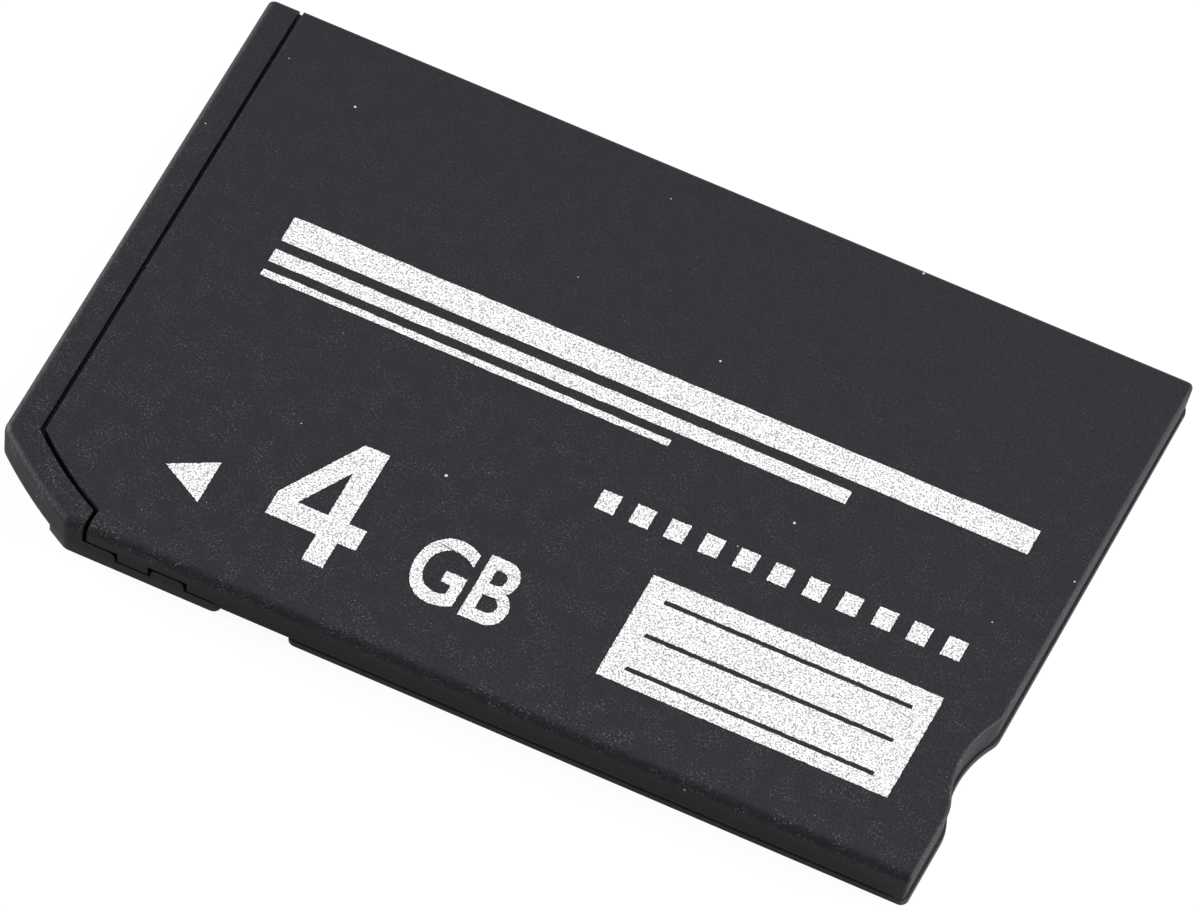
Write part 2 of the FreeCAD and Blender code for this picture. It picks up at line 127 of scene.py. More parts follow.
def fillet(before: Vector, corner: Vector, after: Vector, radius: float, steps: int = 8) -> list[Point]:
    """A corner rounded by an arc.

    Args:
        before: a place on the run into the corner.
        corner: the sharp corner.
        after: a place on the run out of it.
        radius: radius of the arc.
        steps: number of straight runs that stand for the arc.

    Returns:
        The points of the arc, from the first run to the second.
    """
    back, onward = (before - corner).normalized(), (after - corner).normalized()
    half = back.angle(onward) / 2
    middle = corner + (back + onward).normalized() * (radius / math.sin(half))
    reach = radius / math.tan(half)
    first = corner + back * reach - middle
    turn = first.angle_signed(corner + onward * reach - middle)
    start = math.atan2(first.y, first.x)
    return arc((middle.x, middle.y), radius, start, start - turn, steps)


class Workpiece:
    """One mesh on the bench, modelled in millimetres with edit operators."""

    WELD = 2e-4
    LETTER_WELD = 1e-5
    FLAT_EDGE = 1e-6
    HALVINGS = 6
    SMOOTH_BELOW = math.radians(40)
    FACE_WEIGHT = 100
    SHAKE_SEED = 1

    def __init__(self, obj: bpy.types.Object) -> None:
        """Take an object onto the bench."""
        self.obj = obj

    @classmethod
    def prism(cls, name: str, outline: Sequence[Point], bottom: float, top: float) -> "Workpiece":
        """An upright solid on an outline.

        Args:
            name: the piece's name.
            outline: corners in order, in millimetres.
            bottom: lower level.
            top: upper level.

        Returns:
            The new workpiece.
        """
        return cls.swept(name, [Vector((x, y, bottom)) for x, y in outline], Vector((0.0, 0.0, top - bottom)))

    @classmethod
    def profile(cls, name: str, outline: Sequence[Point], near: float, far: float) -> "Workpiece":
        """A solid across the card.

        Args:
            name: the piece's name.
            outline: corners in order, as distance along the card and height.
            near: where it starts.
            far: where it ends.

        Returns:
            The new workpiece.
        """
        return cls.swept(name, [Vector((x, near, z)) for x, z in outline], Vector((0.0, far - near, 0.0)))

    @classmethod
    def swept(cls, name: str, corners: Sequence[Vector], sweep: Vector) -> "Workpiece":
        """A flat outline drawn out along a straight line."""
        bpy.ops.object.select_all(action="DESELECT")
        bpy.ops.mesh.primitive_circle_add(vertices=len(corners), fill_type="NGON")
        obj = bpy.context.active_object
        obj.name = name
        obj.data.name = name
        for vertex, corner in zip(obj.data.vertices, corners):
            vertex.co = corner
        piece = cls(obj)
        with piece.editing():
            bpy.ops.mesh.select_all(action="SELECT")
            bpy.ops.mesh.extrude_region_move(TRANSFORM_OT_translate={"value": sweep})
            bpy.ops.mesh.select_all(action="SELECT")
            bpy.ops.mesh.normals_make_consistent(inside=False)
        return piece

    @classmethod
    def block(cls, name: str, low: Sequence[float], high: Sequence[float]) -> "Workpiece":
        """A box between two corners, in millimetres."""
        outline = [(low[0], low[1]), (high[0], low[1]), (high[0], high[1]), (low[0], high[1])]
        return cls.prism(name, outline, low[2], high[2])

    @classmethod
    def lettering(
        cls, name: str, text: str, weight: float, low: Sequence[float], high: Sequence[float]
    ) -> "Workpiece":
        """Plain characters in the built-in font, filling a box.

        Args:
            name: the piece's name.
            text: the characters.
            weight: how far the strokes are thickened, as a share of the font size.
            low: lowest corner of the box, in millimetres.
            high: highest corner of the box.

        Returns:
            The new workpiece.
        """
        bpy.ops.object.select_all(action="DESELECT")
        bpy.ops.object.text_add()
        obj = bpy.context.active_object
        obj.name = name
        curve = obj.data
        curve.body = text
        curve.offset = weight
        curve.extrude = 1.0
        bpy.ops.object.convert(target="MESH")
        obj.data.name = name
        piece = cls(obj)
        places = [vertex.co for vertex in obj.data.vertices]
        found_low = Vector(min(place[axis] for place in places) for axis in range(3))
        found_high = Vector(max(place[axis] for place in places) for axis in range(3))
        factor = [(high[axis] - low[axis]) / (found_high[axis] - found_low[axis]) for axis in range(3)]
        with piece.editing():
            bpy.ops.mesh.select_all(action="SELECT")
            bpy.ops.mesh.remove_doubles(threshold=cls.LETTER_WELD)
            bpy.ops.transform.resize(value=factor, center_override=found_low)
            bpy.ops.transform.translate(value=Vector(low) - found_low)
        return piece

    def roughen(self, step: float, amount: float, per_mm: float) -> None:
        """Divide the long level edges and shake them sideways, as ink runs on a grained face.

        Args:
            step: longest edge left undivided, in millimetres.
            amount: largest sideways shift.
            per_mm: number of waves in a millimetre.
        """
        noise.seed_set(self.SHAKE_SEED)
        with self.editing() as mesh:
            bpy.ops.mesh.select_mode(type="EDGE")
            for _ in range(self.HALVINGS):
                bpy.ops.mesh.select_all(action="DESELECT")
                for edge in mesh.edges:
                    first, second = (vertex.co for vertex in edge.verts)
                    level = abs(first.z - second.z) < self.FLAT_EDGE
                    edge.select_set(level and edge.calc_length() > step)
                bmesh.update_edit_mesh(self.obj.data)
                bpy.ops.mesh.subdivide(number_cuts=1)
                mesh = bmesh.from_edit_mesh(self.obj.data)
            for vertex in mesh.verts:
                shift = noise.noise_vector(Vector((vertex.co.x, vertex.co.y, 0.0)) * per_mm)
                vertex.co.xy += shift.xy * amount
            bmesh.update_edit_mesh(self.obj.data)

    @contextmanager
    def editing(self) -> Iterator[bmesh.types.BMesh]:
        """Edit mode on this piece, with its editable mesh."""
        activate(self.obj)
        bpy.ops.object.mode_set(mode="EDIT")
        yield bmesh.from_edit_mesh(self.obj.data)
        bpy.ops.object.mode_set(mode="OBJECT")

    def bevel(self, wanted: EdgeTest, width: float, facets: Facets) -> None:
        """Round or bevel the edges that pass a test.

        Args:
            wanted: test on an edge's two ends.
            width: set-back from the edge, in millimetres.
            facets: number of faces across the rounding.
        """
        with self.editing() as mesh:
            bpy.ops.mesh.select_mode(type="EDGE")
            bpy.ops.mesh.select_all(action="DESELECT")
            for edge in mesh.edges:
                edge.select_set(wanted(edge.verts[0].co, edge.verts[1].co))
            bmesh.update_edit_mesh(self.obj.data)
            bpy.ops.mesh.bevel(offset=width, segments=int(facets), affect="EDGES", clamp_overlap=False)

    def lean(self, wanted: PlaceTest, level: float, slope: float) -> None:
        """Tilt a wall toward the leading end below a level, and the other way above it.

        Args:
            wanted: test on a corner of the mesh.
            level: height that keeps its place, in millimetres.
            slope: shift along the card for each millimetre of height.
        """
        with self.editing() as mesh:
            for vertex in mesh.verts:
                if wanted(vertex.co):
                    vertex.co.x -= slope * (level - vertex.co.z)
            bmesh.update_edit_mesh(self.obj.data)

    def cut(self, other: "Workpiece") -> None:
        """Cut another workpiece out of this one, and use it up."""
        activate(self.obj)
        bpy.ops.object.modifier_add(type="BOOLEAN")
        modifier = self.obj.modifiers[-1]
        modifier.operation = "DIFFERENCE"
        modifier.object = other.obj
        modifier.solver = "EXACT"
        bpy.ops.object.modifier_apply(modifier=modifier.name)
        bpy.data.objects.remove(other.obj, do_unlink=True)

    def slide(self, wanted: PlaceTest, offset: Sequence[float]) -> None:
        """Move the corners that pass a test, in millimetres."""
        with self.editing() as mesh:
            bpy.ops.mesh.select_mode(type="VERT")
            bpy.ops.mesh.select_all(action="DESELECT")
            for vertex in mesh.verts:
                vertex.select_set(wanted(vertex.co))
            bmesh.update_edit_mesh(self.obj.data)
            bpy.ops.transform.translate(value=offset)

    def finish(self) -> bpy.types.Object:
        """Close the mesh, shade it evenly and bring it to metres at the origin.

        Returns:
            The finished object.
        """
        with self.editing():
            bpy.ops.mesh.select_all(action="SELECT")
            bpy.ops.mesh.remove_doubles(threshold=self.WELD)
            bpy.ops.mesh.normals_make_consistent(inside=False)
        activate(self.obj)
        self.obj.scale = (MM, MM, MM)
        bpy.ops.object.transform_apply(location=True, rotation=True, scale=True)
        bpy.ops.object.shade_smooth_by_angle(angle=self.SMOOTH_BELOW)
        bpy.ops.object.modifier_add(type="WEIGHTED_NORMAL")
        modifier = self.obj.modifiers[-1]
        modifier.keep_sharp = True
        modifier.weight = self.FACE_WEIGHT
        bpy.ops.object.modifier_apply(modifier=modifier.name)
        return self.obj


class Wire:
    """A shader value that can be used in arithmetic."""

    def __init__(self, recipe: "Recipe", socket: bpy.types.NodeSocket) -> None:
        """Hold one output socket of a recipe."""
        self.recipe = recipe
        self.socket = socket

    def _math(self, operation: str, first: "Wire | float", second: "Wire | float") -> "Wire":
        """Add one Math node to the recipe."""
        return self.recipe.node("ShaderNodeMath", {"operation": operation}, {0: first, 1: second})["Value"]

    def __add__(self, other: "Wire | float") -> "Wire":
        """Sum."""
        return self._math("ADD", self, other)

    def __radd__(self, other: float) -> "Wire":
        """Sum with a number on the left."""
        return self._math("ADD", other, self)

    def __rsub__(self, other: float) -> "Wire":
        """Difference from a number on the left."""
        return self._math("SUBTRACT", other, self)

    def __mul__(self, other: "Wire | float") -> "Wire":
        """Product."""
        return self._math("MULTIPLY", self, other)

    def __rmul__(self, other: float) -> "Wire":
        """Product with a number on the left."""
        return self._math("MULTIPLY", other, self)

    def __lt__(self, other: "Wire | float") -> "Wire":
        """One where this value is the smaller, else zero."""
        return self._math("LESS_THAN", self, other)


class NodeOutputs:
    """The outputs of a node, by name."""

    def __init__(self, recipe: "Recipe", node: bpy.types.Node) -> None:
        """Hold one node of a recipe."""
        self.recipe = recipe
        self.node = node

    def __getitem__(self, name: str) -> Wire:
        """One output as a wire."""
        for socket in self.node.outputs:
            if name in (socket.identifier, socket.name) and socket.enabled:
                return Wire(self.recipe, socket)
        raise KeyError(name)


class Recipe:
    """A material under construction."""

    def __init__(self, name: str) -> None:
        """Start an empty material."""
        self.material = bpy.data.materials.new(name)
        self.material.use_nodes = True
        self.tree = self.material.node_tree
        self.tree.nodes.clear()

    def node(self, kind: str, settings: dict | None = None, sockets: dict | None = None) -> NodeOutputs:
        """Add a node.

        Args:
            kind: the node's type.
            settings: its properties, set first; "stops" gives a ramp's positions and colours.
            sockets: values or wires for its inputs, by name, identifier or number.

        Returns:
            The node's outputs.
        """
        node = self.tree.nodes.new(kind)
        for key, value in (settings or {}).items():
            if key == "stops":
                self._set_stops(node.color_ramp, value)
            else:
                setattr(node, key, value)
        for key, value in (sockets or {}).items():
            socket = self._input(node, key)
            if isinstance(value, Wire):
                self.tree.links.new(value.socket, socket)
            else:
                socket.default_value = value
        return NodeOutputs(self, node)

    @staticmethod
    def _input(node: bpy.types.Node, key: str | int) -> bpy.types.NodeSocket:
        """An input by number, identifier or name."""
        if isinstance(key, int):
            return node.inputs[key]
        for socket in node.inputs:
            if key == socket.identifier:
                return socket
        return next(s for s in node.inputs if s.name == key and s.enabled)

    @staticmethod
    def _set_stops(ramp: bpy.types.ColorRamp, stops: Sequence[tuple[float, Sequence[float]]]) -> None:
        """Give a colour ramp exactly these stops."""
        while len(ramp.elements) > len(stops):
            ramp.elements.remove(ramp.elements[-1])
        while len(ramp.elements) < len(stops):
            ramp.elements.new(1.0)
        for element, (position, colour) in zip(ramp.elements, stops):
            element.position = position
            element.color = (*colour, 1.0)

    def millimetres(self) -> Wire:
        """The piece's own coordinates, in millimetres."""
        place = self.node("ShaderNodeTexCoord")["Object"]
        settings = {"operation": "SCALE"}
        return self.node("ShaderNodeVectorMath", settings, {0: place, "Scale": 1.0 / MM})["Vector"]

    def noise(self, place: Wire, per_mm: float, detail: float = 3.0, roughness: float = 0.5) -> Wire:
        """Noise between zero and one.

        Args:
            place: coordinates in millimetres.
            per_mm: number of blobs in a millimetre.
            detail: octaves of finer noise.
            roughness: strength of the finer octaves.

        Returns:
            The noise value.
        """
        sockets = {"Vector": place, "Scale": per_mm, "Detail": detail, "Roughness": roughness}
        return self.node("ShaderNodeTexNoise", None, sockets)["Fac"]

    def blend(self, factor: Wire, first: Sequence[float] | Wire, second: Sequence[float] | Wire) -> Wire:
        """A colour between two colours."""
        first = first if isinstance(first, Wire) else (*first, 1.0)
        second = second if isinstance(second, Wire) else (*second, 1.0)
        sockets = {"Factor_Float": factor, "A_Color": first, "B_Color": second}
        return self.node("ShaderNodeMix", {"data_type": "RGBA"}, sockets)["Result_Color"]

    def ramp(self, factor: Wire, stops: Stops) -> Wire:
        """A value remapped by grey stops."""
        grey = [(position, (level, level, level)) for position, level in stops]
        return self.node("ShaderNodeValToRGB", {"stops": grey}, {"Fac": factor})["Color"]

    def bump(self, height: Wire, depth_mm: float) -> Wire:
        """A surface normal raised by a height of up to depth_mm."""
        return self.node("ShaderNodeBump", None, {"Height": height, "Distance": depth_mm * MM})["Normal"]

    def surface(self, **sockets: object) -> bpy.types.Material:
        """Close the recipe with one Principled surface, with socket names written with underscores."""
        named = {key.replace("_", " "): value for key, value in sockets.items()}
        shader = self.node("ShaderNodeBsdfPrincipled", None, named)["BSDF"]
        self.node("ShaderNodeOutputMaterial", None, {"Surface": shader})
        return self.material


@dataclass(frozen=True)
class CasePlastic:
    """Charcoal plastic with a fine spark-eroded grain, a little dust, painted floor light on the near foot
    and painted glints along the near top edge.
    """

    dark: Colour = (0.0066, 0.0078, 0.0098)
    pale: Colour = (0.0242, 0.0262, 0.0298)
    # Painted glint colour: pale flecks along the near top edge stand in for sparkle on the grain.
    painted_glint: Colour = (0.25, 0.255, 0.265)
    # Painted floor light colour: a lighter foot on the near side stands in for light from the floor.
    painted_floor_light: Colour = (0.052, 0.049, 0.045)
    dust: Colour = (0.55, 0.56, 0.58)
    grain_per_mm: float = 9.0
    fine_per_mm: float = 17.0
    grain_depth_mm: float = 0.022
    patches_per_mm: float = 1.3
    card_width_mm: float = 20.0
    card_thickness_mm: float = 1.6
    dust_per_mm: float = 0.9
    dust_share: float = 0.9
    dust_size: float = 0.045
    specular: float = 0.18
    roughness: float = 0.42
    roughness_swing: float = 0.25
    tone_shares: tuple[float, float] = (0.5, 0.5)
    bump_shares: tuple[float, float] = (0.6, 0.4)
    floor_light_shares: tuple[float, float] = (0.4, 0.6)
    # Ramps over the height, then over the nearness, as shares of the card, and then over noise; the first
    # places the painted floor light, the others the painted glints.
    foot_stops: Stops = ((0.0, 0.0), (0.04, 1.0), (0.2, 0.75), (0.36, 0.0))
    upward_stops: Stops = ((0.62, 0.1), (0.86, 1.0))
    glint_nearness_stops: Stops = ((0.0, 0.12), (0.9, 0.75), (0.985, 1.0))
    patch_stops: Stops = ((0.42, 0.12), (0.66, 1.0))
    painted_glint_stops: Stops = ((0.56, 0.0), (0.8, 1.0))

    def make(self) -> bpy.types.Material:
        """Mix the plastic."""
        recipe = Recipe("case_plastic")
        place = recipe.millimetres()
        grain = recipe.noise(place, self.grain_per_mm, detail=3.0, roughness=0.6)
        fine = recipe.noise(place, self.fine_per_mm, detail=2.0, roughness=0.6)
        colour = recipe.blend(
            grain * self.tone_shares[0] + fine * self.tone_shares[1], self.dark, self.pale
        )
        axes = recipe.node("ShaderNodeSeparateXYZ", None, {"Vector": place})
        height = axes["Z"] * (1.0 / self.card_thickness_mm)
        # Painted floor light: the foot of the near side is lightened, partly following the grain, where the
        # floor would light it.
        foot = recipe.ramp(height, self.foot_stops)
        nearness = 0.5 - axes["Y"] * (1.0 / self.card_width_mm)
        even, grained = self.floor_light_shares
        colour = recipe.blend(foot * nearness * (even + grained * grain), colour, self.painted_floor_light)
        # Painted glints: pale flecks, strongest near the top of the near side, stand in for light sparkling
        # on the grain.
        glint_nearness = recipe.ramp(nearness, self.glint_nearness_stops)
        patches = recipe.ramp(recipe.noise(place, self.patches_per_mm), self.patch_stops)
        upward = recipe.ramp(height, self.upward_stops)
        painted_glints = recipe.ramp(fine, self.painted_glint_stops) * glint_nearness * patches * upward
        colour = recipe.blend(painted_glints, colour, self.painted_glint)
        scatter = {"Vector": place, "Scale": self.dust_per_mm}
        cells = recipe.node("ShaderNodeTexVoronoi", {"feature": "F1"}, scatter)
        lot = recipe.node("ShaderNodeSeparateColor", None, {"Color": cells["Color"]})
        speck = (cells["Distance"] < self.dust_size * lot["Green"]) * (lot["Red"] < self.dust_share)
        colour = recipe.blend(speck, colour, self.dust)
        return recipe.surface(
            Base_Color=colour,
            Specular_IOR_Level=self.specular,
            Roughness=self.roughness + self.roughness_swing * fine,
            Normal=recipe.bump(
                grain * self.bump_shares[0] + fine * self.bump_shares[1], self.grain_depth_mm
            ),
        )


@dataclass(frozen=True)
class SilverInk:
    """Silver screen print with metallic flake, thin enough to show the grain under it."""

    pale: Colour = (0.93, 0.935, 0.94)
    dark: Colour = (0.26, 0.262, 0.27)
    flake_per_mm: float = 17.0
    flake_stops: Stops = ((0.36, 0.0), (0.56, 1.0))
    roughness: float = 0.6
    roughness_swing: float = 0.2
    depth_mm: float = 0.008

    def make(self) -> bpy.types.Material:
        """Mix the ink."""
        recipe = Recipe("print_silver")
        place = recipe.millimetres()
        flake = recipe.noise(place, self.flake_per_mm, detail=1.0, roughness=0.7)
        shade = recipe.ramp(flake, self.flake_stops)
        return recipe.surface(
            Base_Color=recipe.blend(shade, self.dark, self.pale),
            Roughness=self.roughness - self.roughness_swing * flake,
            Normal=recipe.bump(flake, self.depth_mm),
        )


@dataclass(frozen=True)
class GoldPlate:
    """Hard gold on a contact, with faint rubbing along the card."""

    pale: Colour = (0.86, 0.62, 0.25)
    worn: Colour = (0.70, 0.47, 0.17)
    streaks_per_mm: float = 9.0
    stretch: float = 0.06
    roughness: float = 0.22
    roughness_swing: float = 0.2
    depth_mm: float = 0.002

    def make(self) -> bpy.types.Material:
        """Mix the plating."""
        recipe = Recipe("contact_gold")
        place = recipe.millimetres()
        settings = {"operation": "MULTIPLY"}
        drawn = recipe.node("ShaderNodeVectorMath", settings, {0: place, 1: (self.stretch, 1.0, 1.0)})
        streak = recipe.noise(drawn["Vector"], self.streaks_per_mm, detail=4.0, roughness=0.6)
        return recipe.surface(
            Base_Color=recipe.blend(streak, self.worn, self.pale),
            Metallic=1.0,
            Roughness=self.roughness + self.roughness_swing * streak,
            Normal=recipe.bump(streak, self.depth_mm),
        )


@dataclass(frozen=True)
class GrainedSurface:
    """Lacquer, epoxy or ceramic with a fine grain."""

    name: str
    dark: Colour
    pale: Colour
    roughness: float
    roughness_swing: float = 0.15
    grain_per_mm: float = 12.0
    depth_mm: float = 0.004

    def make(self) -> bpy.types.Material:
        """Mix the material."""
        recipe = Recipe(self.name)
        place = recipe.millimetres()
        grain = recipe.noise(place, self.grain_per_mm)
        return recipe.surface(
            Base_Color=recipe.blend(grain, self.dark, self.pale),
            Roughness=self.roughness + self.roughness_swing * grain,
            Normal=recipe.bump(grain, self.depth_mm),
        )


INNER_SURFACES = (
    GrainedSurface("board_laminate", (0.010, 0.055, 0.028), (0.018, 0.085, 0.042), 0.3, 0.12, 2.2),
    GrainedSurface("chip_epoxy", (0.012, 0.012, 0.013), (0.022, 0.022, 0.024), 0.55),
    GrainedSurface("capacitor_ceramic", (0.30, 0.21, 0.12), (0.46, 0.34, 0.21), 0.4),
    GrainedSurface("resistor_ceramic", (0.015, 0.015, 0.017), (0.03, 0.03, 0.033), 0.35),
)


@dataclass(frozen=True)
class CardPlan:
    """Planes and sizes that the pieces share, in millimetres."""

    lead_end: float
    rear_end: float
    near_side: float
    far_side: float
    top: float
    nose_top: float
    floor_top: float
    roof_end: float
    seam_gap: float = 0.16
    cut_length: float = 3.2
    cut_width: float = 2.2
    cut_bow: float = 0.11
    cut_nose_depth: float = 0.93
    cut_start_radius: float = 0.55
    cut_end_radius: float = 0.45
    cut_point_spacing: float = 0.02
    corner_radius: float = 0.26
    rim_radius: float = 0.12
    bottom_radius: float = 0.1
    nose_side_length: float = 3.76
    roof_thickness: float = 0.3
    ink_thickness: float = 0.01
    thumb_notch_place: float = 4.65
    thumb_notch_width: float = 3.5
    thumb_notch_depth: float = 0.46
    thumb_near_lip: float = 2.0
    thumb_far_lip: float = 0.8
    thumb_steps: int = 16
    lug_start: float = 3.75
    lug_length: float = 1.1
    lug_pitch: float = 2.3
    lug_count: int = 2
    lug_depth: float = 0.4
    lug_height: float = 0.85
    lug_corner: float = 0.2
    lug_gap: float = 0.1
    rail_height: float = 0.48
    notch_start: float = 8.3
    fit_clearance: float = 0.05

    @classmethod
    def from_frame(cls) -> "CardPlan":
        """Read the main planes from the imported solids."""
        upper_low, upper_high = (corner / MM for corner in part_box("upper_case"))
        lower_low, lower_high = (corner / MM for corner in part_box("lower_case"))
        board_low, _ = (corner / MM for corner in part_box("circuit_board"))
        return cls(
            lead_end=lower_low.x,
            rear_end=lower_high.x,
            near_side=lower_low.y,
            far_side=lower_high.y,
            top=upper_high.z,
            nose_top=lower_high.z,
            floor_top=board_low.z,
            roof_end=upper_low.x,
        )

    @property
    def label_level(self) -> float:
        """Level of the bare label face, under the ink."""
        return self.top - self.ink_thickness

    @property
    def nose_depth(self) -> float:
        """Width of the nose seen on the label side."""
        return self.roof_end - self.lead_end - self.seam_gap

    @property
    def nose_side_end(self) -> float:
        """Where the nose ends on the near side."""
        return self.lead_end + self.nose_side_length

    @property
    def rail_room(self) -> float:
        """How far in from the near side the upper shell leaves room for the rail."""
        return self.near_side + self.lug_depth + self.fit_clearance

    @property
    def roof_underside(self) -> float:
        """Level of the roof's inner face."""
        return self.top - self.roof_thickness

    def band_at(self, band: float, along: float) -> float:
        """Y of the cut corner moved in by a band, at a distance from the leading end."""
        slant = math.hypot(self.cut_length, self.cut_width)
        return self.near_side + self.cut_width + (band * slant - along * self.cut_width) / self.cut_length

    def cut_face(self, band: float, along: float, end: float) -> list[Point]:
        """The bowed cut, moved in by a band, between two distances from the leading end."""
        first = (self.lead_end + along, self.band_at(band, along))
        last = (self.lead_end + end, self.band_at(band, end))
        return bowed(first, last, self.cut_bow)

    def rounded_cut(self) -> list[Point]:
        """The outer face of the cut, with its two ends rounded into the leading end and the near side."""
        face = self.cut_face(0.0, 0.0, self.cut_length)
        before, after = Vector((self.lead_end, self.far_side)), Vector((self.rear_end, self.near_side))
        start = fillet(before, Vector(face[0]), Vector(face[1]), self.cut_start_radius)
        end = fillet(Vector(face[-2]), Vector(face[-1]), after, self.cut_end_radius)
        first, last = start[-1][0] + self.cut_point_spacing, end[0][0] - self.cut_point_spacing
        middle = [place for place in face if first < place[0] < last]
        return [*start, *middle, *end]

    @property
    def thumb_radius(self) -> float:
        """Radius of the thumb notch."""
        half = self.thumb_notch_width / 2
        return (half**2 + self.thumb_notch_depth**2) / (2 * self.thumb_notch_depth)

    def lip_turn(self, lip: float) -> float:
        """Angle through which a lip of a radius turns from the rear end into the thumb notch."""
        return math.acos(1.0 - self.thumb_notch_depth / (self.thumb_radius + lip))

    def thumb_arc(self) -> list[Point]:
        """The thumb notch from its near lip to its far lip, each lip tangent to the rear end."""
        radius, near_lip, far_lip = self.thumb_radius, self.thumb_near_lip, self.thumb_far_lip
        middle = self.near_side + self.thumb_notch_place
        near_turn, far_turn = self.lip_turn(near_lip), self.lip_turn(far_lip)
        near_centre = (self.rear_end - near_lip, middle - (radius + near_lip) * math.sin(near_turn))
        far_centre = (self.rear_end - far_lip, middle + (radius + far_lip) * math.sin(far_turn))
        centre = (self.rear_end - self.thumb_notch_depth + radius, middle)
        hollow = arc(centre, radius, math.pi + near_turn, math.pi - far_turn, self.thumb_steps)
        return [
            *arc(near_centre, near_lip, 0.0, near_turn, Facets.LARGE),
            *hollow[1:-1],
            *arc(far_centre, far_lip, -far_turn, 0.0, Facets.SMALL),
        ]

    def lug_runs(self) -> list[tuple[float, float]]:
        """Where each lug starts and ends along the card."""
        lefts = [self.lead_end + self.lug_start + index * self.lug_pitch for index in range(self.lug_count)]
        return [(left, left + self.lug_length) for left in lefts]

    def at_rear(self, place: Vector) -> bool:
        """Whether a point lies at the rear end or in the thumb notch."""
        return place.x > self.rear_end - 2 * self.thumb_notch_depth

    def on_near_side(self, place: Vector) -> bool:
        """Whether a point lies on the card's near side."""
        return place.y < self.near_side + SAME_PLACE

    def on_cut(self, place: Vector) -> bool:
        """Whether a point lies on the outer half of the cut corner's nose."""
        return place.y < self.band_at(self.cut_nose_depth / 2, place.x - self.lead_end)


def upright_near(*spots: Point) -> EdgeTest:
    """A test for upright edges at one of the given places."""

    def wanted(first: Vector, second: Vector) -> bool:
        """Whether the edge stands at a spot."""
        if (first.xy - second.xy).length > ALIGNED:
            return False
        return any((first.xy - Vector(spot)).length < SAME_PLACE for spot in spots)

    return wanted


def level_at(height: float, inside: PlaceTest) -> EdgeTest:
    """A test for level edges at a height with both ends in a region."""

    def wanted(first: Vector, second: Vector) -> bool:
        """Whether the edge lies at the height and in the region."""
        return all(abs(end.z - height) < ALIGNED and inside(end) for end in (first, second))

    return wanted


def anywhere(_: Vector) -> bool:
    """A test that every point passes."""
    return True


